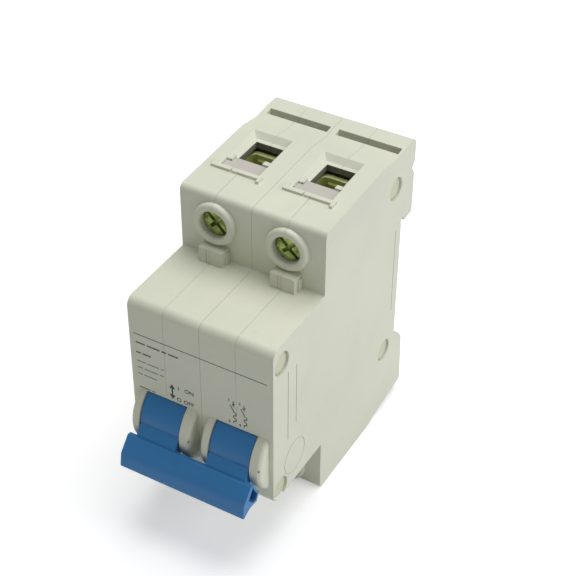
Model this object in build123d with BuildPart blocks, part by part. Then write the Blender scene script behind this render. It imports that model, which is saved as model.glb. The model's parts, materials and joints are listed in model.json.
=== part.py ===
from build123d import *
import os
from math import cos, radians, sin

# Two-pole modular circuit breaker for a 35 mm rail, millimetres.
# +X is right, the front faces -Y and +Z is up, as it hangs on its rail.
# The origin lies on the rail seat face, at mid-height of the 45 mm front nose.

os.makedirs("parts", exist_ok=True)

# ---- housing ----
pole_width = 18.3
pole_gap = 0.05
parting_x = -0.1            # joint between the two shells of a pole, from the pole centre
parting_gap = 0.04
side_wall = 1.4
nose_front = -59.5
nose_half = 22.5
shoulder_front = -37.4
roof_front_z = 39.0
floor_z = -37.5
poles = {"left": -pole_width / 2, "right": pole_width / 2}
body_half = (pole_width - pole_gap) / 2
cavity_half = body_half - side_wall
outer_side = pole_width - pole_gap / 2

# Side outline of the housing as (y, z, corner radius), clockwise from the nose's upper edge.
side_outline = [
    (nose_front, nose_half, 2.2), (shoulder_front, nose_half, 0.3),
    (shoulder_front, roof_front_z, 1.5), (-11.0, 39.8, 4.0), (-4.5, 38.7, 4.0), (0.5, 39.3, 3.0),
    (5.5, 39.2, 1.6), (5.5, 33.0, 0.3), (4.2, 31.4, 0.3), (5.5, 29.5, 0.3), (5.5, 18.4, 0.9),
    (1.3, 18.4, 0.3), (1.3, 19.4, 0.2), (-0.1, 19.4, 0.2), (-0.1, 18.2, 0.03), (0.0, 18.2, 0.03),
    (0.0, -14.6, 0.03), (-0.1, -14.6, 0.03), (-0.1, -16.0, 0.3), (1.2, -16.0, 0.4),
    (3.3, -18.1, 0.9), (4.5, -20.0, 0.9), (5.3, -34.9, 1.2), (-0.5, -35.2, 1.2),
    (-10.2, -36.4, 1.0), (-12.2, floor_z, 0.8), (shoulder_front, floor_z, 1.5),
    (shoulder_front, -nose_half, 0.3), (nose_front, -nose_half, 2.2),
]
# Hollow inside each pole: mechanism in the nose, a terminal chamber at each end.
cavity_outline = [
    (-57.5, -20.7), (-57.5, 20.7), (-33.2, 20.7), (-33.2, 37.0), (-12.4, 37.0), (-12.4, 20.7),
    (-2.0, 20.7), (-2.0, -14.0), (-8.2, -14.0), (-8.2, -26.4), (-12.4, -26.4), (-12.4, -35.5),
    (-33.2, -35.5), (-33.2, -20.7),
]

# ---- toggle ----
toggle_axis = (-54.7, -10.3)
barrel_r = 8.6
barrel_half = 5.15
barrel_window_r = 8.9
window_half = 5.4
cheek_r = 9.0
cheek_left, cheek_right = 7.6, 8.1     # outer faces, from the pole centre
cheek_round = 1.1
toggle_shaft_r = 1.8
shaft_reach = 8.25
link_pin_r = 0.8
link_pin_radius = 3.2       # from the toggle axis
link_pin_angle = 50.0       # above the +Y direction, toggle down
running_clearance = 0.07
tie_bar_half = 16.3
tie_bar_section = [
    (-64.6, -12.3), (-65.7, -12.0), (-67.2, -13.6), (-68.8, -15.4), (-69.5, -19.5),
    (-66.2, -18.2), (-63.4, -18.5), (-62.4, -16.3), (-63.2, -15.6), (-63.9, -14.2),
]
tie_bar_pocket = [
    (-64.9, -12.9), (-66.8, -15.5), (-64.9, -17.8), (-63.9, -17.9), (-63.1, -16.4), (-63.75, -15.5),
    (-64.45, -14.1),
]
tie_bar_pocket_depth = 3.6
tie_bar_edge_r = 0.5
crease_centre, crease_r = (-63.4, -9.4), 0.25      # groove where the paddle leaves the barrel
paddle_section = [
    (-62.2, -9.3), (-63.4, -9.7), (-64.7, -11.3), (-65.3, -12.7), (-66.8, -14.5), (-67.1, -17.2),
    (-64.3, -16.8), (-62.2, -13.2),
]

# ---- contact arm and its linkage ----
arm_axis = (-33.0, -3.0)
arm_open_angle = -16.0
arm_hub_r = 2.6
arm_half = 1.6
tail_reach = 6.0
tail_angle = -140.0         # from +Y, contacts open
tail_hole_r = 1.4
tail_eye_r = 2.1
link_half = 0.9
trip_axis = (-24.0, 2.0)
pivot_pin_r = 1.0
pivot_reach = 8.2

# ---- terminals ----
terminal_z = 32.0
collar_r = 5.3
collar_bore_r = 3.4
collar_height = 1.5
collar_round = 0.9
collar_mouth_round = 0.7
screw_head_r = 3.1
screw_r = 2.45
screw_seat_y = -34.4
screw_slot, screw_slot_floor = 0.9, -36.1
cage_bore_r = 2.5
cage_half_x = 5.0
cage_wall = 0.95
cage_inner = 4.5                       # reach along Z towards the middle of the breaker
cage_outer = {"line": 4.0, "load": 3.2}     # reach along Z towards the wire entry
cage_front, cage_back = -27.5, -13.4
cage_nut = 2.2
cage_plate = 1.4
cage_corner_r, cage_window_r = 2.2, 1.3
cage_tooth_z = (-2.4, -0.8, 0.8, 2.4)  # from the terminal's centre
cage_tooth_half, cage_tooth_height = 0.45, 0.4
collar_step = (-2.9, 3.2)   # block under the collar, across X from the pole centre
collar_step_front, collar_step_top = -40.35, 26.3
collar_side = (3.2, 3.6)    # lower shoulder beside that block
collar_side_front, collar_side_top = -38.9, 25.4
collar_groove_x = -0.9

# ---- wire entries, X counted from the pole centre ----
entry_x = (-3.6, 4.3)
entry_front, entry_back = -22.0, -13.8
entry_ledge = 0.4                      # ledge left of and behind the entry, below the roof
entry_clear = 2.0                      # height above the roof that the cuts reach
entry_floor = 34.0                     # depth that they reach, inside the terminal chamber
entry_slope_foot, entry_slope_top = -12.6, -9.55
entry_side_foot_x, entry_side_top_x = -4.5, -7.2
entry_tab = ((2.7, 4.6), (-22.0, -20.7))
entry_tab_depth = 1.4
guard_x = (-5.45, 4.4)
guard_front, guard_back = -26.35, -22.05
guard_depth = 0.9
guard_step = ((-5.6, -4.2), (-23.6, -21.5))
guard_leg_x = (-4.3, 2.4)
guard_leg_y = (-25.5, -24.4)
guard_leg_foot = {1: 36.4, -1: -35.7}  # above and below
guard_play = 0.05
rib_x = (-6.95, 5.9)
rib_y = (-28.1, -26.9)
rib_height = 0.85
rib_end = 0.8
rib_notch = (-2.0, -1.6)
roof_slot_x = (-7.65, 8.45)
roof_slot_y = (-2.6, -0.5)
roof_slot_floor = 33.4
roof_web = (4.2, 4.7)
roof_web_depth = 1.5
bar_front, bar_back = -23.4, -22.2
bar_half = 3.7

# ---- magnetic trip ----
coil_z = 11.5
coil_r = 4.6
coil_wire_r = 1.0
coil_lead_r = 0.9
coil_front = -17.5
coil_pitch = 2.2
coil_turns = 5.5
bobbin_r, bobbin_bore = 3.3, 2.3

# ---- arc chamber ----
splitter_count = 8
splitter_pitch = 1.6
splitter_thick = 0.9
splitter_front = -20.8
splitter_half = 5.9
splitter_low, splitter_high = -25.8, -12.8

# ---- rivets, as (y, z) on the side faces ----
rivets = [(-55.85, 17.2), (-3.95, 30.4), (-5.55, -17.1), (-56.3, -19.95)]
rivet_recess_r = 2.95
rivet_recess = 0.9
rivet_head_r = 2.5
rivet_head = 0.45
rivet_r = 0.8
rivet_fit = 0.05

# ---- shallow lines and ring moulded in the side faces ----
side_line_depth = 0.15
side_lines = [(-53.1, 12.7, -7.4), (-49.5, 12.2, -4.8), (-2.65, 17.7, -6.3)]     # y, upper z, lower z
ring_centre = (-50.0, -15.0)
ring_r = 4.6

# ---- rail clip ----
clip_half = 4.0
clip_front, clip_back = 1.5, 3.9
clip_play = 0.2
clip_bottom = -36.9
clip_spring_low = -28.5
clip_spring_high = -20.2


def side_section(points, x):
    """A closed outline given as (y, z), on the plane across X at x."""
    with BuildSketch(Plane.YZ.offset(x)) as outline:
        with BuildLine():
            Polyline(*points, close=True)
        make_face()
    return outline.sketch


def side_prism(points, x_low, x_high, mode=Mode.ADD):
    """A straight prism along X with a section given as (y, z)."""
    extrude(side_section(points, x_low), amount=x_high - x_low, mode=mode)


def block(x_range, y_range, z_range, mode=Mode.ADD):
    """A rectangular block between three pairs of limits."""
    y_low, y_high = y_range
    z_low, z_high = sorted(z_range)
    outline = [(y_low, z_low), (y_high, z_low), (y_high, z_high), (y_low, z_high)]
    side_prism(outline, x_range[0], x_range[1], mode)


def rear_prism(points, y_low, y_high, mode=Mode.ADD):
    """A straight prism along Y with a section given as (x, z)."""
    with BuildSketch(Plane(origin=(0, y_low, 0), x_dir=(1, 0, 0), z_dir=(0, 1, 0))) as outline:
        with BuildLine():
            Polyline(*[(x, -z) for x, z in points], close=True)
        make_face()
    extrude(outline.sketch, amount=y_high - y_low, mode=mode)


def rod_x(centre, radius, x_low, x_high, mode=Mode.ADD):
    """A round rod along X at centre (y, z)."""
    with BuildSketch(Plane.YZ.offset(x_low)) as ring:
        with Locations(centre):
            Circle(radius)
    extrude(ring.sketch, amount=x_high - x_low, mode=mode)


def rod_y(x, z, radius, y_low, y_high, mode=Mode.ADD):
    """A round rod along Y."""
    with BuildSketch(Plane(origin=(x, y_low, z), x_dir=(1, 0, 0), z_dir=(0, 1, 0))) as ring:
        Circle(radius)
    extrude(ring.sketch, amount=y_high - y_low, mode=mode)


def rod_z(x, y, radius, z_low, z_high):
    """A round rod along Z."""
    with BuildSketch(Plane(origin=(x, y, z_low))) as ring:
        Circle(radius)
    extrude(ring.sketch, amount=z_high - z_low)


def coil_spring(centre, direction, pitch, height, mean_r, wire_r):
    """A helical spring or winding that starts at centre and runs along direction."""
    with BuildLine() as helix:
        Helix(pitch, height, mean_r, center=centre, direction=direction)
    with BuildSketch(Plane(origin=helix.line @ 0, z_dir=helix.line % 0)) as wire:
        Circle(wire_r)
    sweep(wire.sketch, path=helix.line, is_frenet=True)


def polar(centre, radius, angle):
    """A point (y, z) at radius and angle, counted from +Y towards +Z."""
    return (centre[0] + radius * cos(radians(angle)), centre[1] + radius * sin(radians(angle)))


def save(builder, label):
    """Name a finished piece and write it."""
    builder.part.label = label
    export_step(builder.part, f"parts/{label}.step")


def across(x_c, limits):
    """X limits of a feature given from the centre of its pole."""
    return (x_c + limits[0], x_c + limits[1])


def face_height(end):
    """Height of the upper (end 1) or lower (end -1) face beside the terminals."""
    return roof_front_z if end > 0 else -floor_z


def entry_recess(x_c, end):
    """Room round a wire entry, with a sloped rear and a sloped left side."""
    roof = end * (face_height(end) + entry_clear)
    ledge = end * (face_height(end) - entry_ledge)
    with BuildPart() as recess:
        side_prism([(entry_front, ledge), (entry_slope_foot, ledge), (entry_slope_top, roof),
                    (entry_front, roof)], x_c + entry_side_top_x, x_c + entry_x[1])
        rear_prism([(x_c + entry_side_foot_x, ledge), (x_c + entry_x[1], ledge),
                    (x_c + entry_x[1], roof), (x_c + entry_side_top_x, roof)],
                   entry_front, entry_slope_top, Mode.INTERSECT)
    return recess.part


def terminal_features(shell, x_c, end, recess):
    """Collar, wire entry and guard seat of one terminal; end is 1 above and -1 below."""
    face_z = face_height(end)
    z_c = end * terminal_z
    rod_y(x_c, z_c, collar_r, shoulder_front - collar_height, shoulder_front + 1.0)
    rims = shell.edges().filter_by(GeomType.CIRCLE).filter_by(
        lambda e: abs(e.radius - collar_r) < 0.01 and e.center().Y < shoulder_front - 1.0
    )
    fillet(rims.filter_by(lambda e: e.center().Z * end > 0), radius=collar_round)
    block(across(x_c, collar_step), (collar_step_front, shoulder_front + 1.0),
          (end * (nose_half - 0.5), end * collar_step_top))
    block(across(x_c, collar_side), (collar_side_front, shoulder_front + 1.0),
          (end * (nose_half - 0.5), end * collar_side_top))
    groove_x = (x_c + collar_groove_x - 0.06, x_c + collar_groove_x + 0.06)
    block(groove_x, (collar_step_front - 0.1, collar_step_front + 0.25),
          (end * nose_half, end * (collar_step_top + 0.1)), Mode.SUBTRACT)
    rod_y(x_c, z_c, collar_bore_r, shoulder_front - 2.5, screw_seat_y, Mode.SUBTRACT)
    mouths = shell.edges().filter_by(GeomType.CIRCLE).filter_by(
        lambda e: abs(e.radius - collar_bore_r) < 0.01 and e.center().Y < shoulder_front - 1.0
    )
    fillet(mouths.filter_by(lambda e: e.center().Z * end > 0), radius=collar_mouth_round)
    rod_y(x_c, z_c, screw_r + 0.2, -35.0, -33.0, Mode.SUBTRACT)
    # wire entry in its recess
    roof = end * (face_z + entry_clear)
    block(across(x_c, entry_x), (entry_front, entry_back), (end * entry_floor, roof), Mode.SUBTRACT)
    add(recess, mode=Mode.SUBTRACT)
    # seat of the wire guard, stepped at its left rear corner
    seat_x = (x_c + guard_x[0] - guard_play, x_c + guard_x[1] + guard_play)
    seat_z = (end * (face_z - guard_depth - 0.1), roof)
    block(seat_x, (guard_front - guard_play, entry_front), seat_z, Mode.SUBTRACT)
    leg_x = (x_c + guard_leg_x[0] - guard_play, x_c + guard_leg_x[1] + guard_play)
    block(leg_x, (guard_leg_y[0] - guard_play, guard_leg_y[1] + guard_play),
          (end * entry_floor, roof), Mode.SUBTRACT)


def add_roof_details(x_c):
    """Raised rib and tabs that frame the wire guard on the roof."""
    rib_z = (roof_front_z - 0.3, roof_front_z + rib_height)
    tab_z = (roof_front_z - entry_tab_depth, roof_front_z + 0.35)
    block(across(x_c, rib_x), rib_y, rib_z)
    block((x_c + rib_x[0], x_c + rib_x[0] + rib_end), (rib_y[0], guard_front + 0.9), rib_z)
    block((x_c + rib_x[1] - rib_end, x_c + rib_x[1]), (rib_y[0] - 1.0, rib_y[1]), rib_z)
    block(across(x_c, rib_notch), (rib_y[0] - 0.1, rib_y[1] + 0.1),
          (roof_front_z + 0.15, roof_front_z + 1.0), Mode.SUBTRACT)
    for tab_x, tab_y in (entry_tab, guard_step):
        block(across(x_c, tab_x), tab_y, tab_z)


# =============================== housing shells ===============================
for side, x_c in poles.items():
    recesses = {end: entry_recess(x_c, end) for end in (1, -1)}
    halves = {
        "base": (x_c - body_half, x_c + parting_x - parting_gap / 2),
        "cover": (x_c + parting_x + parting_gap / 2, x_c + body_half),
    }
    for half, (x_low, x_high) in halves.items():
        with BuildPart() as shell:
            with BuildSketch(Plane.YZ.offset(x_c - body_half)):
                with BuildLine():
                    FilletPolyline(
                        *[(y, z) for y, z, r in side_outline],
                        radius=[r for y, z, r in side_outline],
                        close=True,
                    )
                make_face()
            extrude(amount=2 * body_half)
            # rounded guard cheeks on both sides of the toggle
            for sign, reach in ((-1, cheek_left), (1, cheek_right)):
                near, far = sorted((x_c + sign * window_half, x_c + sign * reach))
                with BuildSketch(Plane.YZ.offset(near)):
                    with Locations(toggle_axis):
                        Circle(cheek_r)
                extrude(amount=far - near)
                fillet(
                    shell.edges().filter_by(GeomType.CIRCLE).filter_by(
                        lambda e: abs(e.radius - cheek_r) < 0.01 and e.center().Y < nose_front
                    ).group_by(Axis.X)[-1 if sign > 0 else 0],
                    radius=cheek_round,
                )
            side_prism(cavity_outline, x_c - cavity_half, x_c + cavity_half, Mode.SUBTRACT)
            rod_x(toggle_axis, barrel_window_r, x_c - window_half, x_c + window_half, Mode.SUBTRACT)
            for end, recess in recesses.items():
                terminal_features(shell, x_c, end, recess)
            add_roof_details(x_c)
            # long slot along the rear of the roof, with one low web across it
            block(across(x_c, roof_slot_x), roof_slot_y, (roof_slot_floor, 41.0), Mode.SUBTRACT)
            block(across(x_c, roof_web), (roof_slot_y[0] - 0.1, roof_slot_y[1] + 0.1),
                  (roof_slot_floor - 0.1, roof_front_z - roof_web_depth))
            # partitions that close the terminal chambers off from the mechanism
            for partition in ((-27.2, -26.0), (25.2, 26.4)):
                block((x_c - cavity_half, x_c + cavity_half), (-22.0, -8.0), partition)
            # seat of the toggle spring, and the blind bores of the toggle shaft and pivots
            rod_x(toggle_axis, toggle_shaft_r + running_clearance, x_c - shaft_reach - 0.1,
                  x_c + shaft_reach + 0.1, Mode.SUBTRACT)
            rod_x(toggle_axis, 3.5, x_c - cavity_half, x_c - window_half, Mode.SUBTRACT)
            for pivot in (arm_axis, trip_axis):
                rod_x(pivot, pivot_pin_r + rivet_fit, x_c - pivot_reach - 0.1,
                      x_c + pivot_reach + 0.1, Mode.SUBTRACT)
            # rail clip channel with the rib that the clip's spring stands on
            block((x_c - clip_half - clip_play, x_c + clip_half + clip_play),
                  (clip_front - clip_play, clip_back + clip_play), (-40.0, -15.0), Mode.SUBTRACT)
            block((x_c - 1.4, x_c + 1.4), (clip_front - 0.5, 3.6),
                  (clip_spring_low - 1.0, clip_spring_low))
            for centre in rivets:
                rod_x(centre, rivet_r + rivet_fit, x_c - pole_width / 2, x_c + pole_width / 2,
                      Mode.SUBTRACT)
            # recessed rivet seats and shallow moulded lines on the two outermost faces
            outer = -outer_side if side == "left" else outer_side
            inward = 1 if side == "left" else -1
            seat = sorted((outer, outer + inward * rivet_recess))
            for centre in rivets:
                rod_x(centre, rivet_recess_r, seat[0], seat[1], Mode.SUBTRACT)
            groove = sorted((outer, outer + inward * side_line_depth))
            for y, z_high, z_low in side_lines:
                block(groove, (y - 0.12, y + 0.12), (z_low, z_high), Mode.SUBTRACT)
            with BuildSketch(Plane.YZ.offset(groove[0])):
                with Locations(ring_centre):
                    Circle(ring_r)
                    Circle(ring_r - 0.25, mode=Mode.SUBTRACT)
            extrude(amount=groove[1] - groove[0], mode=Mode.SUBTRACT)
            # keep only this half of the pole
            block((x_low, x_high), (-80.0, 20.0), (-60.0, 60.0), Mode.INTERSECT)
        save(shell, f"{half}_shell_{side}")

with BuildPart() as housing_rivets:
    for centre in rivets:
        seat_x = outer_side - rivet_recess
        rod_x(centre, rivet_r, -seat_x, seat_x)
        rod_x(centre, rivet_head_r, -seat_x - rivet_head, -seat_x)
        rod_x(centre, rivet_head_r, seat_x, seat_x + rivet_head)
save(housing_rivets, "housing_rivets")

# ================================== toggle ===================================
link_pin = polar(toggle_axis, link_pin_radius, link_pin_angle)
for side, x_c in poles.items():
    with BuildPart() as handle:
        rod_x(toggle_axis, barrel_r, x_c - barrel_half, x_c + barrel_half)
        side_prism(paddle_section, x_c - barrel_half, x_c + barrel_half)
        rod_x(crease_centre, crease_r, x_c - barrel_half, x_c + barrel_half, Mode.SUBTRACT)
        rod_x(toggle_axis, toggle_shaft_r, x_c - shaft_reach, x_c + shaft_reach)
        # slot for the link, open to the rear, and the link pin's bore
        block((x_c - link_half - 0.3, x_c + link_half + 0.3), (link_pin[0] - 1.9, -46.0),
              (-19.0, 0.0), Mode.SUBTRACT)
        rod_x(link_pin, link_pin_r + running_clearance, x_c - 3.7, x_c + 3.7, Mode.SUBTRACT)
    save(handle, f"handle_{side}")

with BuildPart() as handle_tie_bar:
    side_prism(tie_bar_section, -tie_bar_half, tie_bar_half)
    fillet(handle_tie_bar.edges().filter_by(Axis.X).group_by(Axis.Y)[0], radius=tie_bar_edge_r)
    for near, far in ((-tie_bar_half, -tie_bar_half + tie_bar_pocket_depth),
                      (tie_bar_half - tie_bar_pocket_depth, tie_bar_half)):
        side_prism(tie_bar_pocket, near, far, Mode.SUBTRACT)
    for x_c in poles.values():
        side_prism(paddle_section, x_c - barrel_half, x_c + barrel_half, Mode.SUBTRACT)
        rod_x(toggle_axis, barrel_r + 0.6, x_c - barrel_half, x_c + barrel_half, Mode.SUBTRACT)
save(handle_tie_bar, "handle_tie_bar")

# ======================= contact mechanism in each pole ======================
tail_pin = polar(arm_axis, tail_reach, tail_angle)
for side, x_c in poles.items():
    with BuildPart() as link:
        with BuildSketch(Plane.YZ.offset(x_c - link_half)):
            with BuildLine():
                Polyline(
                    (link_pin[0], link_pin[1] + 0.9), (tail_pin[0], tail_pin[1] + 0.9),
                    (tail_pin[0], tail_pin[1] - 0.9), (link_pin[0], link_pin[1] - 0.9), close=True,
                )
            make_face()
            with Locations(link_pin, tail_pin):
                Circle(1.3)
        extrude(amount=2 * link_half)
        rod_x(link_pin, link_pin_r, x_c - 3.6, x_c + 3.6)
        rod_x(tail_pin, link_pin_r, x_c - 2.6, x_c + 2.6)
    save(link, f"handle_link_{side}")

    # Drawn along the arm: u from the pivot to the contact, v square to it.
    along = (0.0, cos(radians(arm_open_angle)), sin(radians(arm_open_angle)))
    with BuildPart() as arm:
        with BuildSketch(Plane((x_c - arm_half, *arm_axis), x_dir=along, z_dir=(1, 0, 0))):
            with BuildLine():
                Polyline((0.0, 2.3), (15.6, 0.9), (19.6, 0.9), (20.4, 0.0), (19.6, -0.9),
                         (12.0, -1.0), (0.0, -2.3), close=True)
            make_face()
        extrude(amount=2 * arm_half)
        rod_x(arm_axis, arm_hub_r, x_c - 2.6, x_c + 2.6)
        for near in (x_c - 2.6, x_c + link_half + 0.2):
            with BuildSketch(Plane.YZ.offset(near)):
                with BuildLine():
                    Polyline(polar(arm_axis, 2.2, -50), polar(arm_axis, 2.2, 130),
                             polar(tail_pin, 1.8, 130), polar(tail_pin, 1.8, -50), close=True)
                make_face()
                with Locations(tail_pin):
                    Circle(tail_eye_r)
            extrude(amount=2.6 - link_half - 0.2)
        # room for the link between the two ears
        rod_x(tail_pin, 3.2, x_c - link_half - 0.2, x_c + link_half + 0.2, Mode.SUBTRACT)
        rod_x(arm_axis, pivot_pin_r + running_clearance, x_c - 3.0, x_c + 3.0, Mode.SUBTRACT)
        rod_x(tail_pin, tail_hole_r, x_c - 3.0, x_c + 3.0, Mode.SUBTRACT)
    save(arm, f"contact_arm_{side}")

    with BuildPart() as moving_contact:
        with BuildSketch(Plane((x_c - 1.5, *arm_axis), x_dir=along, z_dir=(1, 0, 0))):
            with BuildLine():
                Polyline((16.0, 0.9), (19.2, 0.9), (19.2, 1.95), (16.0, 1.95), close=True)
            make_face()
        extrude(amount=3.0)
    save(moving_contact, f"moving_contact_{side}")

    # Pulls the arm open when the latch lets go.
    with BuildPart() as contact_spring:
        coil_spring((x_c, -22.6, -18.9), (0, 0, 1), 1.15, 9.2, 1.1, 0.25)
    save(contact_spring, f"contact_spring_{side}")

    with BuildPart() as trip_lever:
        side_prism([(-25.6, -13.0), (-22.5, -10.0), (-22.3, 13.8), (-25.6, 13.8), (-27.6, -12.0)],
                   x_c + 3.7, x_c + 5.3)
        side_prism([(-24.7, 8.6), (-22.3, 8.6), (-22.3, 13.8), (-24.7, 13.8)],
                   x_c - 1.8, x_c + 5.3)
        side_prism([(-27.9, -17.8), (-26.4, -17.8), (-25.6, -12.0), (-27.6, -12.0)],
                   x_c + 1.8, x_c + 5.3)
        rod_x(trip_axis, 2.4, x_c + 3.2, x_c + 6.6)
        rod_x(trip_axis, pivot_pin_r + running_clearance, x_c + 3.0, x_c + 7.0, Mode.SUBTRACT)
    save(trip_lever, f"trip_lever_{side}")

    # ---------------------------- magnetic trip ----------------------------
    coil_height = coil_pitch * coil_turns
    coil_rear = coil_front + coil_height
    with BuildPart() as coil:
        coil_spring((x_c, coil_front, coil_z), (0, 1, 0), coil_pitch, coil_height, coil_r,
                    coil_wire_r)
        for y, z_end, z_low, z_high in (
            (coil_front, coil_z + coil_r, coil_z + coil_r, 23.4),
            (coil_rear, coil_z - coil_r, 1.4, coil_z - coil_r),
        ):
            rod_z(x_c, y, coil_lead_r, z_low, z_high)
            with Locations((x_c, y, z_end)):
                Sphere(coil_wire_r + 0.06)
    save(coil, f"coil_{side}")

    with BuildPart() as bobbin:
        rod_y(x_c, coil_z, bobbin_r, coil_front - 1.2, -4.5)
        rod_y(x_c, coil_z, bobbin_bore, -30.0, 0.0, Mode.SUBTRACT)
    save(bobbin, f"coil_bobbin_{side}")

    with BuildPart() as plunger:
        rod_y(x_c, coil_z, bobbin_bore - 0.15, -12.8, -5.2)
        rod_y(x_c, coil_z, 0.6, -22.0, -12.8)
    save(plunger, f"plunger_{side}")

    with BuildPart() as plunger_spring:
        coil_spring((x_c, -15.35, coil_z), (0, 1, 0), 0.75, 2.3, 1.5, 0.2)
    save(plunger_spring, f"plunger_spring_{side}")

    with BuildPart() as yoke:
        for y_low in (-20.0, -4.2):
            block((x_c - 5.4, x_c + 7.2), (y_low, y_low + 1.2), (6.6, 16.4))
        block((x_c + 6.2, x_c + 7.2), (-20.0, -3.0), (6.6, 16.4))
        rod_y(x_c, coil_z, bobbin_bore - 0.1, -21.0, -18.0, Mode.SUBTRACT)
    save(yoke, f"yoke_{side}")

    # ----------------------- fixed contact and arc path --------------------
    with BuildPart() as fixed_contact:
        block((x_c - 3.0, x_c + 3.0), (-18.6, -3.6), (0.2, 1.4))
    save(fixed_contact, f"fixed_contact_bar_{side}")

    # Steel splitter plates with a notch towards the contacts.
    with BuildPart() as arc_plates:
        for index in range(splitter_count):
            y = splitter_front + index * splitter_pitch
            with BuildSketch(Plane(origin=(x_c, y, 0), x_dir=(1, 0, 0), z_dir=(0, 1, 0))):
                with BuildLine():
                    Polyline((-splitter_half, -splitter_low), (-splitter_half, -splitter_high),
                             (-2.4, -splitter_high), (0.0, -splitter_high + 5.0),
                             (2.4, -splitter_high), (splitter_half, -splitter_high),
                             (splitter_half, -splitter_low), close=True)
                make_face()
            extrude(amount=splitter_thick)
    save(arc_plates, f"arc_plates_{side}")

    # --------------------------- thermal trip ------------------------------
    with BuildPart() as bimetal:
        block((x_c - 3.0, x_c + 3.0), (-30.6, -29.7), (-25.0, -13.0))
    save(bimetal, f"bimetal_{side}")

    with BuildPart() as braid:
        with BuildLine() as route:
            FilletPolyline((x_c, -31.5, -15.0), (x_c, -33.2, -12.6), (x_c, -32.9, -9.4),
                           (x_c, -32.2, -5.9), radius=1.2)
        with BuildSketch(Plane(origin=route.line @ 0, z_dir=route.line % 0)):
            Circle(0.8)
        sweep(path=route.line)
    save(braid, f"braid_{side}")

    # ------------------------------ terminals ------------------------------
    with BuildPart() as line_terminal:
        block((x_c - bar_half, x_c + bar_half), (bar_front, bar_back), (23.4, 36.6))
        block((x_c - bar_half, x_c + bar_half), (bar_front, -16.2), (23.4, 24.6))
    save(line_terminal, f"line_terminal_{side}")

    with BuildPart() as load_terminal:
        block((x_c - bar_half, x_c + bar_half), (bar_front, bar_back), (-35.2, -25.0))
        block((x_c - bar_half, x_c + bar_half), (-31.4, bar_back), (-26.2, -25.0))
    save(load_terminal, f"load_terminal_{side}")

    for end_name, end in (("line", 1), ("load", -1)):
        z_c = end * terminal_z
        with BuildPart() as screw:
            rod_y(x_c, z_c, screw_head_r, -37.3, -34.6)
            rod_y(x_c, z_c, screw_r, -34.6, bar_front - 0.1)
            # slotted cross recess, standing askew as the screw was left
            for turn, reach in ((-45, 4.0), (45, 2.1)):
                with BuildSketch(Plane(origin=(x_c, screw_slot_floor, z_c), x_dir=(1, 0, 0),
                                       z_dir=(0, -1, 0))):
                    Rectangle(2 * reach, screw_slot, rotation=turn)
                extrude(amount=2.0, mode=Mode.SUBTRACT)
        save(screw, f"{end_name}_screw_{side}")

        with BuildPart() as cage:
            z_far = z_c + end * cage_outer[end_name]
            block((x_c - cage_half_x, x_c + cage_half_x), (cage_front, cage_back),
                  (z_c - end * cage_inner, z_far))
            fillet(cage.edges().filter_by(Axis.Z).group_by(Axis.Y)[-1], radius=cage_corner_r)
            window_half_x = cage_half_x - cage_wall
            window_back = cage_back - cage_plate
            block((x_c - window_half_x, x_c + window_half_x),
                  (cage_front + cage_nut, window_back), (z_c - 9.0, z_c + 9.0), Mode.SUBTRACT)
            window_corners = cage.edges().filter_by(Axis.Z).filter_by_position(
                Axis.Y, window_back - 0.01, window_back + 0.01
            )
            fillet(window_corners, radius=cage_window_r)
            # teeth across the clamping face
            for z in cage_tooth_z:
                z_t = z_c + z
                side_prism([(window_back + 0.1, z_t - cage_tooth_half),
                            (window_back, z_t - cage_tooth_half),
                            (window_back - cage_tooth_height, z_t),
                            (window_back, z_t + cage_tooth_half),
                            (window_back + 0.1, z_t + cage_tooth_half)],
                           x_c - window_half_x + cage_window_r, x_c + window_half_x - cage_window_r)
            rod_y(x_c, z_c, cage_bore_r, -40.0, -20.0, Mode.SUBTRACT)
        save(cage, f"{end_name}_cage_{side}")

    # ------------------------------ rail clip ------------------------------
    with BuildPart() as clip:
        side_prism([(clip_front, clip_bottom), (clip_back, clip_bottom), (clip_back, -17.4),
                    (2.4, -14.9), (clip_front, -14.9)], x_c - clip_half, x_c + clip_half)
        block((x_c - 1.7, x_c + 1.7), (0.0, 6.0), (clip_spring_low - 1.3, clip_spring_high),
              Mode.SUBTRACT)
        block((x_c - 2.2, x_c + 2.2), (0.0, 6.0), (-35.6, -34.4), Mode.SUBTRACT)
    save(clip, f"rail_clip_{side}")

    with BuildPart() as clip_spring:
        coil_spring((x_c, (clip_front + clip_back) / 2, clip_spring_low + 0.25), (0, 0, 1), 1.0,
                    clip_spring_high - clip_spring_low - 0.5, 0.85, 0.2)
    save(clip_spring, f"clip_spring_{side}")

# ================== identical pieces, one node for each kind ==================
with BuildPart() as handle_springs:
    for x_c in poles.values():
        coil_spring((x_c - 7.0, *toggle_axis), (1, 0, 0), 0.62, 1.55, 2.9, 0.25)
save(handle_springs, "handle_springs")

with BuildPart() as pivot_pins:
    for x_c in poles.values():
        for pivot in (arm_axis, trip_axis):
            rod_x(pivot, pivot_pin_r, x_c - pivot_reach, x_c + pivot_reach)
save(pivot_pins, "pivot_pins")

with BuildPart() as coil_cores:
    for x_c in poles.values():
        rod_y(x_c, coil_z, bobbin_bore - 0.02, coil_front - 1.2, -15.6)
        rod_y(x_c, coil_z, 0.9, -30.0, -10.0, Mode.SUBTRACT)
save(coil_cores, "coil_cores")

with BuildPart() as fixed_contact_pads:
    for x_c in poles.values():
        block((x_c - 1.6, x_c + 1.6), (-17.2, -13.8), (-0.9, 0.2))
save(fixed_contact_pads, "fixed_contact_pads")

with BuildPart() as arc_runners:
    runner = [(-9.0, 0.2), (-9.0, -0.6), (-7.9, -1.4), (-7.9, -12.4), (-7.1, -12.4), (-7.1, -0.9),
              (-8.0, 0.2)]
    for x_c in poles.values():
        side_prism(runner, x_c - 2.6, x_c + 2.6)
save(arc_runners, "arc_runners")

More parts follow.
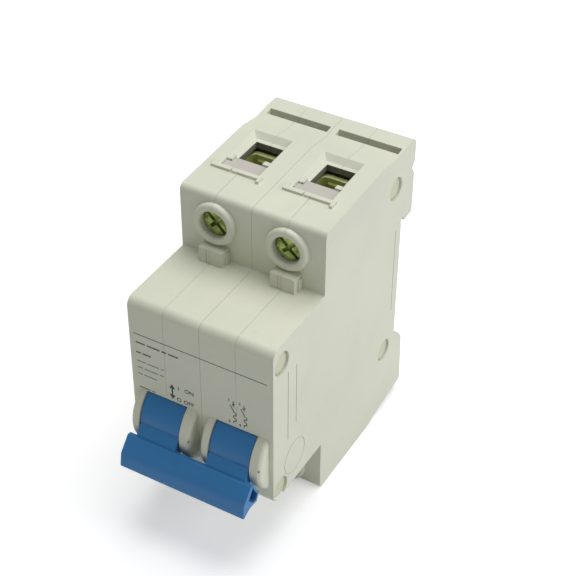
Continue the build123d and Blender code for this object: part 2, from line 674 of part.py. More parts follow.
with BuildPart() as arc_sides:
    chamber_back = splitter_front + (splitter_count - 1) * splitter_pitch + splitter_thick
    for x_c in poles.values():
        for near in (-splitter_half - 0.75, splitter_half + 0.05):
            block((x_c + near, x_c + near + 0.7), (splitter_front, chamber_back),
                  (splitter_low, splitter_high))
save(arc_sides, "arc_sides")

# Insulating strips that cover the terminal bars beside the wire entries.
with BuildPart() as wire_guards:
    for x_c in poles.values():
        for end, face_z in ((1, roof_front_z), (-1, -floor_z)):
            strip_z = (end * (face_z - guard_depth - 0.1), end * (face_z - 0.1))
            block(across(x_c, guard_x), (guard_front, guard_back), strip_z)
            block(across(x_c, guard_leg_x), guard_leg_y, (guard_leg_foot[end], strip_z[0]))
            if end > 0:
                step_x, step_y = guard_step
                block((x_c + guard_x[0] - 0.1, x_c + step_x[1] + guard_play),
                      (step_y[0] - guard_play, guard_back + 0.1), (36.0, 41.0), Mode.SUBTRACT)
save(wire_guards, "wire_guards")
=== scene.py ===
import json
import math

import bmesh
import bpy
from mathutils import Matrix, Vector


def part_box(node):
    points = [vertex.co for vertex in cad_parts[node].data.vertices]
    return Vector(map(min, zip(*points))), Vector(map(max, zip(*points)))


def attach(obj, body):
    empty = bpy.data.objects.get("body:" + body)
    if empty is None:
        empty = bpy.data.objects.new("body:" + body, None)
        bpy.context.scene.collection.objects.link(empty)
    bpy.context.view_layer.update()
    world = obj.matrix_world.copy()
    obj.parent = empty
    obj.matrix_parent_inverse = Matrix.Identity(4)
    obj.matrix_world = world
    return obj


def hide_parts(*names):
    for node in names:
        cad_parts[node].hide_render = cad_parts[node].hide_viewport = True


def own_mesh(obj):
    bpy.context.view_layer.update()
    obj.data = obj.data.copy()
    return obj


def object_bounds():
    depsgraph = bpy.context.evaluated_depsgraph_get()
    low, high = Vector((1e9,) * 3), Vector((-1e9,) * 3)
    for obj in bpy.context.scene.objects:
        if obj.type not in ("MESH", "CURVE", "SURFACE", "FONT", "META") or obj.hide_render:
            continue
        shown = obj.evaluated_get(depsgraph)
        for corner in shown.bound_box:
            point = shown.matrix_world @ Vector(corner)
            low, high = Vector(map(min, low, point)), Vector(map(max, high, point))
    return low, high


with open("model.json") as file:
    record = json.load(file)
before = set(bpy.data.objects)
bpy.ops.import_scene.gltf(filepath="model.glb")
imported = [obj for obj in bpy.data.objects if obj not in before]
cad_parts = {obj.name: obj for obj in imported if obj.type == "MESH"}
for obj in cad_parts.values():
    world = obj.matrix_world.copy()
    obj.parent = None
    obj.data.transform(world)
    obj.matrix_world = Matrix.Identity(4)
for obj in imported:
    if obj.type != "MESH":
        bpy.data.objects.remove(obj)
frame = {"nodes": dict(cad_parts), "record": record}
cad_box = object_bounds()
MM = 0.001

# ------------------------------------------------------------------ camera
AZIMUTH, ELEVATION, ROLL = 29.669, 38.818, 0.352
DISTANCE = 354.42 * MM
LENS = 89.3
SENSOR_WIDTH = 36.0
CLIP_NEAR, CLIP_FAR = 0.01, 20.0
OFFSET_RIGHT, OFFSET_UP = -10.633 * MM, -6.729 * MM


def make_camera():
    a, e, r = (math.radians(v) for v in (AZIMUTH, ELEVATION, ROLL))
    back = Vector((math.sin(a) * math.cos(e), -math.cos(a) * math.cos(e), math.sin(e)))
    level = Vector((math.cos(a), math.sin(a), 0.0))
    upright = back.cross(level)
    right = level * math.cos(r) + upright * math.sin(r)
    up = upright * math.cos(r) - level * math.sin(r)
    data = bpy.data.cameras.new("camera")
    data.lens = LENS
    data.sensor_width = SENSOR_WIDTH
    data.clip_start = CLIP_NEAR
    data.clip_end = CLIP_FAR
    camera = bpy.data.objects.new("camera", data)
    turn = Matrix((right, up, back)).transposed().to_4x4()
    place = right * OFFSET_RIGHT + up * OFFSET_UP + back * DISTANCE
    camera.matrix_world = Matrix.Translation(place) @ turn
    bpy.context.scene.collection.objects.link(camera)
    bpy.context.scene.camera = camera


# ------------------------------------------------------------------ lights, floor
WORLD_TINT = (0.96, 0.98, 1.0, 1.0)
WORLD_STRENGTH = 0.275
PURE_WHITE = (1.0, 1.0, 1.0, 1.0)
FLOOR_RADIUS = 2.5
FLOOR_SIDES = 96
FLOOR_SEEN = (0.93, 0.93, 0.93, 1.0)
FLOOR_GLOW = 0.34
FLOOR_BOUNCE = (0.88, 0.88, 0.88, 1.0)
LIGHT_TARGET = (0.0, -0.02, 0.0)
LIGHTS = (
    # name, place, diameter, power, colour
    ("light_top", (0.02, 0.10, 0.62), 0.55, 2.75, (1.0, 1.0, 1.0)),
    ("light_right", (0.62, 0.12, 0.26), 0.40, 1.62, (0.93, 0.935, 1.0)),
)


def make_area_light(name, place, size, power, colour):
    data = bpy.data.lights.new(name, "AREA")
    data.shape = "DISK"
    data.size = size
    data.energy = power
    data.color = colour
    lamp = bpy.data.objects.new(name, data)
    lamp.location = place
    direction = Vector(LIGHT_TARGET) - Vector(place)
    lamp.rotation_euler = direction.to_track_quat("-Z", "Y").to_euler()
    bpy.context.scene.collection.objects.link(lamp)


def split_rays(tree, others, camera, target):
    """Camera rays meet one shader, and all other rays another."""
    path = tree.nodes.new("ShaderNodeLightPath")
    mix = tree.nodes.new("ShaderNodeMixShader")
    tree.links.new(path.outputs["Is Camera Ray"], mix.inputs["Fac"])
    tree.links.new(others.outputs[0], mix.inputs[1])
    tree.links.new(camera.outputs[0], mix.inputs[2])
    tree.links.new(mix.outputs[0], target)


def make_world():
    """Soft daylight that the camera sees as plain white."""
    world = bpy.data.worlds.new("studio")
    world.use_nodes = True
    tree = world.node_tree
    background = tree.nodes["Background"]
    background.inputs["Color"].default_value = WORLD_TINT
    background.inputs["Strength"].default_value = WORLD_STRENGTH
    white = tree.nodes.new("ShaderNodeBackground")
    white.inputs["Color"].default_value = PURE_WHITE
    white.inputs["Strength"].default_value = 1.0
    split_rays(tree, background, white, tree.nodes["World Output"].inputs["Surface"])
    bpy.context.scene.world = world


def make_floor():
    """A pale disc under the object, which throws back less light than the camera sees on it."""
    low = cad_box[0][2]
    mesh = bpy.data.meshes.new("floor")
    work = bmesh.new()
    bmesh.ops.create_circle(work, cap_ends=True, segments=FLOOR_SIDES, radius=FLOOR_RADIUS)
    bmesh.ops.translate(work, verts=work.verts, vec=(0.0, 0.0, low))
    work.to_mesh(mesh)
    work.free()
    floor = bpy.data.objects.new("floor", mesh)
    bpy.context.scene.collection.objects.link(floor)
    material = bpy.data.materials.new("floor_white")
    material.use_nodes = True
    tree = material.node_tree
    shader = tree.nodes["Principled BSDF"]
    shader.inputs["Base Color"].default_value = FLOOR_SEEN
    shader.inputs["Roughness"].default_value = 0.9
    shader.inputs["Specular IOR Level"].default_value = 0.1
    shader.inputs["Emission Color"].default_value = PURE_WHITE
    shader.inputs["Emission Strength"].default_value = FLOOR_GLOW
    matt = tree.nodes.new("ShaderNodeBsdfDiffuse")
    matt.inputs["Color"].default_value = FLOOR_BOUNCE
    split_rays(tree, matt, shader, tree.nodes["Material Output"].inputs["Surface"])
    mesh.materials.append(material)


# ------------------------------------------------------------------ materials
CLOUD_SCALE = 38.0          # noise scales, per metre: the larger the number, the finer the pattern
SMEAR_SCALE = 120.0
RUB_SCALE = 260.0
GLOSS_SCALE = 300.0
SPECKLE_SCALE = 900.0
PEEL_SCALE = 2600.0
STREAK_SCALE = 1400.0
EDGE_FLAT, EDGE_SHARP = 0.985, 0.72     # how far the softened normal agrees with the true one
NO_WARMTH = (1.0, 1.0, 1.0)
SHELL_EDGE = 0.15 * MM      # reach of the rubbed edges on the housing


class Surface:
    """A procedural material: tone variation, fine bump, softened and worn edges."""

    def __init__(self, name):
        self.material = bpy.data.materials.new(name)
        self.material.use_nodes = True
        self.tree = self.material.node_tree
        self.shader = self.tree.nodes["Principled BSDF"]
        self.place = self.tree.nodes.new("ShaderNodeTexCoord").outputs["Object"]

    def node(self, kind, **values):
        made = self.tree.nodes.new(kind)
        for key, value in values.items():
            setattr(made, key, value)
        return made

    def link(self, source, target):
        self.tree.links.new(source, target)

    def stretched(self, scale):
        mapping = self.node("ShaderNodeMapping")
        mapping.inputs["Scale"].default_value = scale
        self.link(self.place, mapping.inputs["Vector"])
        return mapping.outputs["Vector"]

    def noise(self, scale, detail=3.0, rough=0.55, vector=None):
        made = self.node("ShaderNodeTexNoise")
        made.inputs["Scale"].default_value = scale
        made.inputs["Detail"].default_value = detail
        made.inputs["Roughness"].default_value = rough
        self.link(vector or self.place, made.inputs["Vector"])
        return made.outputs["Fac"]

    def remap(self, value, low, high, to_low, to_high):
        made = self.node("ShaderNodeMapRange", clamp=True)
        numbers = {"From Min": low, "From Max": high, "To Min": to_low, "To Max": to_high}
        for key, number in numbers.items():
            made.inputs[key].default_value = number
        self.link(value, made.inputs["Value"])
        return made.outputs["Result"]

    def math(self, operation, a, b):
        made = self.node("ShaderNodeMath", operation=operation)
        for socket, value in zip(made.inputs, (a, b)):
            if isinstance(value, (int, float)):
                socket.default_value = value
            else:
                self.link(value, socket)
        return made.outputs["Value"]

    def blend(self, share, a, b):
        made = self.node("ShaderNodeMix", data_type="RGBA")
        self.link(share, made.inputs["Factor"])
        for key, value in (("A", a), ("B", b)):
            socket = [s for s in made.inputs if s.name == key and s.type == "RGBA"][0]
            if isinstance(value, tuple):
                socket.default_value = (*value, 1.0)
            else:
                self.link(value, socket)
        return [s for s in made.outputs if s.type == "RGBA"][0]

    def edge_share(self, radius):
        """About 1 on sharp convex or concave edges, 0 on flat faces; also the softened normal."""
        soft = self.node("ShaderNodeBevel", samples=4)
        soft.inputs["Radius"].default_value = radius
        flat = self.node("ShaderNodeNewGeometry")
        dot = self.node("ShaderNodeVectorMath", operation="DOT_PRODUCT")
        self.link(soft.outputs["Normal"], dot.inputs[0])
        self.link(flat.outputs["Normal"], dot.inputs[1])
        share = self.remap(dot.outputs["Value"], EDGE_SHARP, EDGE_FLAT, 1.0, 0.0)
        return share, soft.outputs["Normal"]

    def finish(self, colour, roughness, height, depth, normal=None):
        """Join colour, gloss and a fine bump of the given depth in metres to the shader."""
        self.link(colour, self.shader.inputs["Base Color"])
        self.link(roughness, self.shader.inputs["Roughness"])
        bump = self.node("ShaderNodeBump")
        bump.inputs["Strength"].default_value = 1.0
        bump.inputs["Distance"].default_value = depth
        self.link(height, bump.inputs["Height"])
        if normal is not None:
            self.link(normal, bump.inputs["Normal"])
        self.link(bump.outputs["Normal"], self.shader.inputs["Normal"])
        return self.material


def shade(colour, factor):
    return tuple(min(1.0, c * factor) for c in colour)


def plastic(name, colour, rough, depth=4e-6, worn=(0.9, 0.9, 0.85), wear=0.25, grime=0.10,
            warm=NO_WARMTH, edge=0.35 * MM):
    """Moulded plastic: cloudy tone, faint orange peel, rubbed edges and slight grime."""
    s = Surface(name)
    s.shader.inputs["Specular IOR Level"].default_value = 0.45
    cloud = s.noise(CLOUD_SCALE, 4.0)
    base = s.blend(s.remap(cloud, 0.3, 0.7, 0.0, 1.0), shade(colour, 0.955),
                   tuple(min(1.0, c * w * 1.03) for c, w in zip(colour, warm)))
    speckle = s.remap(s.noise(SPECKLE_SCALE, 2.0), 0.66, 0.76, 0.0, 0.35)
    base = s.blend(speckle, base, shade(colour, 0.84))
    smear = s.remap(s.noise(SMEAR_SCALE, 6.0, 0.7), 0.55, 0.8, 0.0, 1.0)
    smear = s.math("MULTIPLY", smear, grime)
    base = s.blend(smear, base, shade(colour, 0.6))
    edges, soft = s.edge_share(edge)
    patchy = s.remap(s.noise(RUB_SCALE, 4.0), 0.35, 0.65, 0.3 * wear, wear)
    rub = s.math("MULTIPLY", edges, patchy)
    base = s.blend(rub, base, worn)
    roughness = s.remap(s.noise(GLOSS_SCALE, 4.0), 0.3, 0.7, rough - 0.06, rough + 0.07)
    fine = s.noise(PEEL_SCALE, 2.0)
    broad = s.math("MULTIPLY", s.noise(PEEL_SCALE * 0.17, 2.0), 1.6)
    peel = s.math("ADD", fine, broad)
    return s.finish(base, roughness, peel, depth, soft)


def metal(name, colour, second, rough, stretch=(1.0, 1.0, 1.0), depth=5e-6, worn=(0.9, 0.9, 0.9),
          wear=0.4, stain=60.0, bare=1.0):
    """Plated or rolled metal: two-tone tint, brushed streaks and bright edges."""
    s = Surface(name)
    s.shader.inputs["Metallic"].default_value = bare
    tint = s.remap(s.noise(stain, 5.0, 0.6), 0.38, 0.62, 0.0, 1.0)
    base = s.blend(tint, colour, second)
    spots = s.remap(s.noise(stain * 14.0, 3.0), 0.6, 0.75, 0.0, 0.5)
    base = s.blend(spots, base, shade(colour, 0.62))
    edges, soft = s.edge_share(0.2 * MM)
    patchy = s.remap(s.noise(500.0, 4.0), 0.3, 0.65, 0.2 * wear, wear)
    rub = s.math("MULTIPLY", edges, patchy)
    base = s.blend(rub, base, worn)
    streak = s.noise(STREAK_SCALE, 3.0, 0.6, s.stretched(stretch))
    roughness = s.remap(streak, 0.3, 0.7, rough - 0.07, rough + 0.1)
    return s.finish(base, roughness, streak, depth, soft)


def fibre(name, colour):
    """Pressed fibre board: flecked and rough."""
    s = Surface(name)
    fleck = s.noise(1500.0, 5.0, 0.7, s.stretched((1.0, 0.35, 1.0)))
    fleck = s.remap(fleck, 0.35, 0.65, 0.0, 1.0)
    base = s.blend(fleck, shade(colour, 0.72), shade(colour, 1.18))
    base = s.blend(s.remap(s.noise(90.0, 4.0), 0.4, 0.7, 0.0, 0.5), base, shade(colour, 0.55))
    return s.finish(base, s.remap(s.noise(400.0), 0.3, 0.7, 0.72, 0.9), fleck, 2e-5)


def braided(name, colour, second):
    """Fine copper strands twisted round the braid."""
    s = Surface(name)
    s.shader.inputs["Metallic"].default_value = 1.0
    wave = s.node("ShaderNodeTexWave", wave_type="BANDS", bands_direction="DIAGONAL")
    wave.inputs["Scale"].default_value = 900.0
    wave.inputs["Distortion"].default_value = 1.5
    s.link(s.place, wave.inputs["Vector"])
    strand = wave.outputs["Fac"]
    base = s.blend(strand, colour, second)
    return s.finish(base, s.remap(s.noise(700.0), 0.3, 0.7, 0.28, 0.45), strand, 6e-5)


def make_materials():
    """One finished material for each material slot of the record."""
    steel, dark_steel = (0.62, 0.62, 0.60), (0.40, 0.40, 0.40)
    return {
        "housing_thermoset": plastic("housing_thermoset", (0.715, 0.725, 0.592), 0.46,
                                     edge=SHELL_EDGE, worn=(0.86, 0.87, 0.80), wear=0.35,
                                     warm=(1.0, 1.0, 0.985)),
        "toggle_plastic": plastic("toggle_plastic", (0.037, 0.212, 0.500), 0.36, depth=6e-6,
                                  worn=(0.16, 0.44, 0.68), wear=0.55, grime=0.25),
        "bobbin_plastic": plastic("bobbin_plastic", (0.10, 0.10, 0.10), 0.5, worn=(0.2, 0.2, 0.2)),
        "guard_plastic": plastic("guard_plastic", (0.56, 0.53, 0.475), 0.5,
                                 worn=(0.7, 0.67, 0.6)),
        "clip_plastic": plastic("clip_plastic", (0.66, 0.66, 0.57), 0.5),
        "lever_plastic": plastic("lever_plastic", (0.09, 0.09, 0.10), 0.5, worn=(0.2, 0.2, 0.2)),
        "spring_wire": metal("spring_wire", steel, dark_steel, 0.28, depth=2e-6),
        "soft_iron": metal("soft_iron", (0.47, 0.47, 0.48), (0.36, 0.36, 0.38), 0.38,
                           stretch=(1.0, 0.08, 1.0)),
        "copper": metal("copper", (0.80, 0.44, 0.28), (0.66, 0.32, 0.18), 0.3,
                        stretch=(1.0, 1.0, 0.1), worn=(0.95, 0.66, 0.5)),
        "contact_silver": metal("contact_silver", (0.86, 0.86, 0.83), (0.70, 0.69, 0.64), 0.26),
        "arc_steel": metal("arc_steel", (0.52, 0.53, 0.50), (0.42, 0.41, 0.38), 0.36,
                           stretch=(1.0, 1.0, 0.1)),
        "bimetal": metal("bimetal", (0.58, 0.55, 0.47), (0.46, 0.42, 0.36), 0.32,
                         stretch=(1.0, 1.0, 0.06)),
        "rivet_metal": plastic("rivet_metal", (0.64, 0.65, 0.46), 0.42, worn=(0.72, 0.72, 0.6),
                               wear=0.5),
        "yellow_zinc": metal("yellow_zinc", (0.58, 0.68, 0.22), (0.76, 0.80, 0.38), 0.36,
                             worn=(0.90, 0.92, 0.60), wear=0.7, stain=240.0, bare=0.30),
        "pin_steel": metal("pin_steel", steel, (0.5, 0.5, 0.5), 0.25, stretch=(0.1, 1.0, 1.0)),
        "fibre_board": fibre("fibre_board", (0.34, 0.12, 0.07)),
    }


# ------------------------------------------------------------------ softened edges
SHARP_ANGLE = math.radians(32.0)
SEAM_SHARE = 0.12           # how much the edges at the shells' joints are rounded
SEAM_NEAR = 0.01 * MM       # an edge this close to a joint plane lies on it
OUTER_NEAR = 0.05 * MM      # a shell's limit this close to the whole box is an outer side
SAME_PLACE = 1e-6
BEVEL_SEGMENTS = 2
NORMAL_WEIGHT = 80
BEVEL_WIDTHS = {            # by the start of the node's name, in millimetres
    "base_shell": 0.18, "cover_shell": 0.18, "handle_left": 0.25, "handle_right": 0.25,
    "handle_tie_bar": 0.36, "wire_guards": 0.10, "line_screw": 0.12, "load_screw": 0.12,
    "line_cage": 0.15, "load_cage": 0.15, "rail_clip": 0.20, "housing_rivets": 0.12,
    "yoke": 0.10, "line_terminal": 0.10, "load_terminal": 0.10, "contact_arm": 0.10,
}


def place_key(co):
    return tuple(round(value / SAME_PLACE) for value in co)


def mark_edges(piece, seams):
    """Weight each sharp edge for the bevel: fully, or barely where two shells meet."""
    mesh = piece.data
    work = bmesh.new()
    work.from_mesh(mesh)
    bmesh.ops.remove_doubles(work, verts=work.verts, dist=SAME_PLACE)
    shares = {}
    for edge in work.edges:
        if len(edge.link_faces) == 2 and edge.calc_face_angle() > SHARP_ANGLE:
            on_seam = any(all(abs(v.co.x - x) < SEAM_NEAR for v in edge.verts) for x in seams)
            ends = frozenset(place_key(v.co) for v in edge.verts)
            shares[ends] = SEAM_SHARE if on_seam else 1.0
    work.free()
    places = [place_key(v.co) for v in mesh.vertices]
    weights = mesh.attributes.new("bevel_weight_edge", "FLOAT", "EDGE")
    weights.data.foreach_set("value", [
        shares.get(frozenset(places[i] for i in edge.vertices), 0.0) for edge in mesh.edges
    ])


def shell_seams(name):
    """X of the faces with which a shell meets its neighbours."""
    limits = [corner.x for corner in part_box(name)]
    return [x for x in limits if all(abs(x - corner[0]) > OUTER_NEAR for corner in cad_box)]


def soften_edges(piece, width, seams=()):
    """Weld the imported faces together and round their sharp edges."""
    mark_edges(piece, seams)
    weld = piece.modifiers.new("weld", "WELD")
    weld.merge_threshold = SAME_PLACE
    bevel = piece.modifiers.new("bevel", "BEVEL")
    bevel.width = width
    bevel.segments = BEVEL_SEGMENTS
    bevel.limit_method = "WEIGHT"
    bevel.use_clamp_overlap = True
    bevel.miter_outer = "MITER_ARC"
    normals = piece.modifiers.new("normals", "WEIGHTED_NORMAL")
    normals.keep_sharp = False
    normals.weight = NORMAL_WEIGHT


# ------------------------------------------------------------------ finishes on the CAD nodes
# the box of the upper terminal chamber whose walls get painted shade
CHAMBER_HALF = 7.9                      # upper terminal chamber, in millimetres: half its width,
CHAMBER_Y = (-33.3, -12.3)              # and where its walls start and end in y and z
CHAMBER_Z = (20.0, 38.45)


def darken_inside(shell, material):
    """Paint shade onto the walls of the upper terminal chamber as a darker finish."""
    bar_low, bar_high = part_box("line_terminal_" + shell.name.split("_")[-1])
    x_c = (bar_low.x + bar_high.x) / 2
    shell.data.materials.append(material)
    for face in shell.data.polygons:
        x, y, z = (value / MM for value in face.center)
        across = abs(x - x_c / MM) < CHAMBER_HALF
        if across and CHAMBER_Y[0] < y < CHAMBER_Y[1] and CHAMBER_Z[0] < z < CHAMBER_Z[1]:
            face.material_index = 1


def dress_nodes(materials):
    """Give each CAD node its finish, smooth faces and, where it shows, rounded edges; paint shade
    on the walls of the upper terminal chamber.
    """
    slots = {row["node"]: row["material_slot"] for row in frame["record"]["subparts"]}
    strands = braided("braid_copper", (0.80, 0.44, 0.28), (0.45, 0.20, 0.10))
    # dark plastic as painted shade on the walls of the upper terminal chamber
    chamber_shade = plastic("housing_inside", (0.20, 0.20, 0.155), 0.6, worn=(0.3, 0.3, 0.25),
                     edge=SHELL_EDGE)
    # yellow zinc darkened as painted shade for the screws sunk in their collars; the two-tone
    # stain is random
    screw_zinc = metal("screw_zinc", (0.16, 0.22, 0.05), (0.50, 0.60, 0.20), 0.30,
                       worn=(0.80, 0.86, 0.48), wear=0.7, stain=420.0, bare=0.6)
    special = {"braid": strands, "line_screw": screw_zinc, "load_screw": screw_zinc}
    for name, piece in frame["nodes"].items():
        chosen = [special[start] for start in special if name.startswith(start)]
        piece.data.materials.clear()
        piece.data.materials.append(chosen[0] if chosen else materials[slots[name]])
        piece.data.polygons.foreach_set("use_smooth", [True] * len(piece.data.polygons))
        is_shell = "shell" in name
        if is_shell:
            # painted shade on the walls of the upper terminal chamber
            darken_inside(piece, chamber_shade)
        for start, width in BEVEL_WIDTHS.items():
            if name.startswith(start):
                soften_edges(piece, width * MM, shell_seams(name) if is_shell else ())


# ------------------------------------------------------------------ prints on the nose front
PRINT_Y = -59.5 * MM        # the nose's front face
PRINT_PROUD = 0.015 * MM
PRINT_SUNK = 0.04 * MM
PRINT_BOLD = 0.03 * MM
FONT_SIZE_PER_HEIGHT = 1.38     # the font's size for capitals of height 1
RULE_ENDS = (-17.2, 16.8)       # from here on in millimetres, x to the right and z up
RULE_Z = 13.3
RULE_WIDTH = 0.24
LARGE_GAP, LARGE_HEIGHT = 0.5, 0.42
LARGE_ROWS = (
    # x, z, lengths of the bars
    (-16.7, 10.9, (2.4, 3.4, 1.2, 2.6)),
    (-16.8, 8.0, (1.2, 2.2)),
)
SMALL_GAP, SMALL_HEIGHT = 0.45, 0.24
SMALL_ROWS = (
    (-16.7, 5.5, (2.3, 3.1, 0.8)),
    (-16.7, 3.6, (1.4, 3.6, 1.0)),
    (-16.7, 1.7, (1.2, 3.4)),
)
LAST_ROW, LAST_HEIGHT = (-16.6, -2.3, (3.0, 0.8)), 0.28
ARROW_X = -7.65
ARROW_HEAD = 0.80
SWITCH_MARKS = (
    # name, word, x, z
    ("print_i", "I", -6.2, 1.3),
    ("print_on", "ON", -4.4, 1.3),
    ("print_o", "O", -6.55, -2.1),
    ("print_off", "OFF", -4.75, -2.1),
)
MARK_HEIGHT, NUMBER_HEIGHT = 1.12, 0.8
CIRCUIT_X = (8.35, 11.05)
# the switch arm, then the wave of the trip coil, from top to bottom, relative to CIRCUIT_X
CIRCUIT_LINE = (
    (-0.9, 3.3), (-0.05, 1.9), (-0.05, 1.5), (0.6, 1.2), (0.6, 0.7), (-0.05, 0.4),
    (-0.05, -0.1), (0.6, -0.4), (0.6, -0.9), (-0.05, -1.2), (-0.05, -1.8),
)
CIRCUIT_WIDTH = 0.24


def add_piece(name, mesh, material):
    """A new piece with one finish, which moves with the housing."""
    mesh.materials.append(material)
    piece = bpy.data.objects.new(name, mesh)
    bpy.context.scene.collection.objects.link(piece)
    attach(piece, "housing")


def ink(name, colour):
    """Screen-print ink, slightly broken where it is thin."""
    s = Surface(name)
    patch = s.remap(s.noise(1800.0, 4.0), 0.42, 0.62, 0.0, 1.0)
    base = s.blend(patch, colour, tuple(c * 0.7 + 0.12 for c in colour))
    return s.finish(base, s.remap(s.noise(600.0), 0.3, 0.7, 0.45, 0.62), patch, 2e-6)


def place_print(name, outlines, material):
    """Flat closed outlines given as (x, z) in millimetres, as one thin printed piece."""
    mesh = bpy.data.meshes.new(name)
    work = bmesh.new()
    for outline in outlines:
        back = [work.verts.new((x * MM, PRINT_Y + PRINT_SUNK, z * MM)) for x, z in outline]
        front = [work.verts.new((x * MM, PRINT_Y - PRINT_PROUD, z * MM)) for x, z in outline]
        work.faces.new(back)
        work.faces.new(front)
        for i in range(len(outline)):
            j = (i + 1) % len(outline)
            work.faces.new((back[i], back[j], front[j], front[i]))
    work.normal_update()
    bmesh.ops.triangulate(work, faces=[f for f in work.faces if len(f.verts) > 4])
    bmesh.ops.recalc_face_normals(work, faces=work.faces)
    work.to_mesh(mesh)
    work.free()
    add_piece(name, mesh, material)


def stroke(x0, z0, x1, z1, width):
    """A straight printed line as a thin rectangle."""
    along = Vector((x1 - x0, z1 - z0)).normalized()
    side = Vector((-along.y, along.x)) * width / 2
    return [(x0 + side.x, z0 + side.y), (x0 - side.x, z0 - side.y),
            (x1 - side.x, z1 - side.y), (x1 + side.x, z1 + side.y)]


def place_word(name, word, x, z, height, material):
    """A generic switch mark or terminal number in the plain built-in font."""
    text = bpy.data.curves.new(name, "FONT")
    text.body = word
    text.size = height * MM * FONT_SIZE_PER_HEIGHT
    text.resolution_u = 3
    text.extrude = (PRINT_PROUD + PRINT_SUNK) / 2
    text.offset = PRINT_BOLD
    draft = bpy.data.objects.new(name + "_draft", text)
    bpy.context.scene.collection.objects.link(draft)
    bpy.context.view_layer.update()
    depsgraph = bpy.context.evaluated_depsgraph_get()
    mesh = bpy.data.meshes.new_from_object(draft.evaluated_get(depsgraph))
    bpy.data.objects.remove(draft)
    place = Vector((x * MM, PRINT_Y + (PRINT_SUNK - PRINT_PROUD) / 2, z * MM))
    mesh.transform(Matrix.Translation(place) @ Matrix.Rotation(math.radians(90.0), 4, "X"))
    work = bmesh.new()
    work.from_mesh(mesh)
    bmesh.ops.remove_doubles(work, verts=work.verts, dist=SAME_PLACE)
    work.to_mesh(mesh)
    work.free()
    mesh.materials.clear()
    add_piece(name, mesh, material)


def ribbon(points, width):
    """A printed line through several points, as one closed outline with mitred corners."""
    spots = [Vector(p) for p in points]
    runs = [(b - a).normalized() for a, b in zip(spots, spots[1:])]
    left, right = [], []
    for i, spot in enumerate(spots):
        before = runs[max(i - 1, 0)]
        after = runs[min(i, len(runs) - 1)]
        along = (before + after).normalized()
        side = Vector((-along.y, along.x)) * (width / 2 / max(along.dot(before), 0.5))
        left.append(tuple(spot + side))
        right.append(tuple(spot - side))
    return left + right[::-1]


def bar_row(x, z, lengths, gap, height):
    """Plain short bars in a row, in place of small lettering."""
    bars = []
    for length in lengths:
        bars.append(stroke(x, z, x + length, z, height))
        x += length + gap
    return bars


def make_prints():
    """The rule, plain bars for the small lettering, the switch marks and the circuit symbols."""
    black = ink("print_black", (0.03, 0.035, 0.03))
    grey = ink("print_grey", (0.10, 0.10, 0.09))
    green = ink("print_green", (0.05, 0.14, 0.09))
    rule = stroke(RULE_ENDS[0], RULE_Z, RULE_ENDS[1], RULE_Z, RULE_WIDTH)
    place_print("print_rule", [rule], green)
    large, small = [], []
    for row in LARGE_ROWS:
        large += bar_row(*row, LARGE_GAP, LARGE_HEIGHT)
    for row in SMALL_ROWS:
        small += bar_row(*row, SMALL_GAP, SMALL_HEIGHT)
    small += bar_row(*LAST_ROW, SMALL_GAP, LAST_HEIGHT)
    place_print("print_bars_large", large, black)
    place_print("print_bars_small", small, grey)
    left, right = ARROW_X - ARROW_HEAD, ARROW_X + ARROW_HEAD
    place_print("print_arrow", [
        [(ARROW_X, 2.3), (left, 1.0), (right, 1.0)],
        [(ARROW_X, -2.1), (right, -0.8), (left, -0.8)],
        stroke(ARROW_X, 1.05, ARROW_X, -0.85, 0.38),
    ], black)
    for name, word, x, z in SWITCH_MARKS:
        place_word(name, word, x, z, MARK_HEIGHT, black)
    for pole, x in enumerate(CIRCUIT_X):
        place_print(f"print_circuit_{pole + 1}", [
            ribbon([(x + dx, z) for dx, z in CIRCUIT_LINE], CIRCUIT_WIDTH),
            stroke(x - 0.05, 4.7, x - 0.05, 3.0, CIRCUIT_WIDTH),
            stroke(x - 0.45, 3.5, x + 0.35, 4.0, 0.2),
        ], black)
        upper, lower = 2 * pole + 1, 2 * pole + 2
        for number, z in ((upper, 4.3), (lower, -2.0)):
            place_word(f"print_number_{number}", str(number), x - 1.45, z, NUMBER_HEIGHT, black)


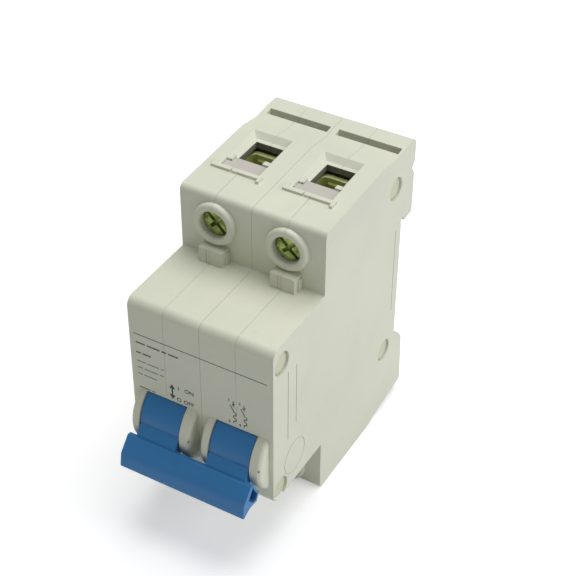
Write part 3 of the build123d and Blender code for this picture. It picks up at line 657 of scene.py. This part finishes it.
# ------------------------------------------------------------------ small parts
GATE_HALF_SIZE = (0.20 * MM, 0.09 * MM, 0.34 * MM)
GATE_TURN = math.radians(38.0)
GATE_FROM_SIDE = 0.45 * MM      # inwards from the toggle's right-hand side
GATE_IN_FRONT = 8.72 * MM       # of the toggles' axis
GATE_ABOVE = 1.2 * MM


def make_gate_marks():
    """Small trimmed moulding gates on the right-hand cheek of each toggle."""
    joints = frame["record"]["behaviour"]["joints"]
    axis = [j for j in joints if j["name"] == "handle_swing"][0]["pos_m"]
    material = plastic("gate_mark", (0.20, 0.20, 0.16), 0.6, worn=(0.4, 0.4, 0.34))
    for side in ("left", "right"):
        cheek_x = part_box(f"handle_{side}")[1].x - GATE_FROM_SIDE
        place = (cheek_x, axis[1] - GATE_IN_FRONT, axis[2] + GATE_ABOVE)
        mesh = bpy.data.meshes.new(f"gate_mark_{side}")
        work = bmesh.new()
        bmesh.ops.create_icosphere(work, subdivisions=3, radius=1.0)
        bmesh.ops.scale(work, verts=work.verts, vec=GATE_HALF_SIZE)
        bmesh.ops.rotate(work, verts=work.verts, matrix=Matrix.Rotation(GATE_TURN, 3, "Z"))
        bmesh.ops.translate(work, verts=work.verts, vec=place)
        work.to_mesh(mesh)
        work.free()
        add_piece(f"gate_mark_{side}", mesh, material)


def make_coils(material):
    """Copies of the CAD springs in the spring wire finish, fixed to the housing, in place of the
    CAD ones.
    """
    for side in ("left", "right"):
        for joint, node in ((f"plunger_{side}_strike", f"plunger_spring_{side}"),
                            (f"clip_{side}_release", f"clip_spring_{side}")):
            piece = bpy.data.objects.new(node + "_coil", frame["nodes"][node].data.copy())
            bpy.context.scene.collection.objects.link(piece)
            piece.data.materials.clear()
            piece.data.materials.append(material)
            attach(piece, "housing")
            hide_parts(node)
            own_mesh(piece)


# ------------------------------------------------------------------ build
bpy.context.scene.view_settings.view_transform = "Standard"
make_camera()
make_world()
make_floor()
for light in LIGHTS:
    make_area_light(*light)
finishes = make_materials()
dress_nodes(finishes)
make_coils(finishes["spring_wire"])
make_prints()
make_gate_marks()
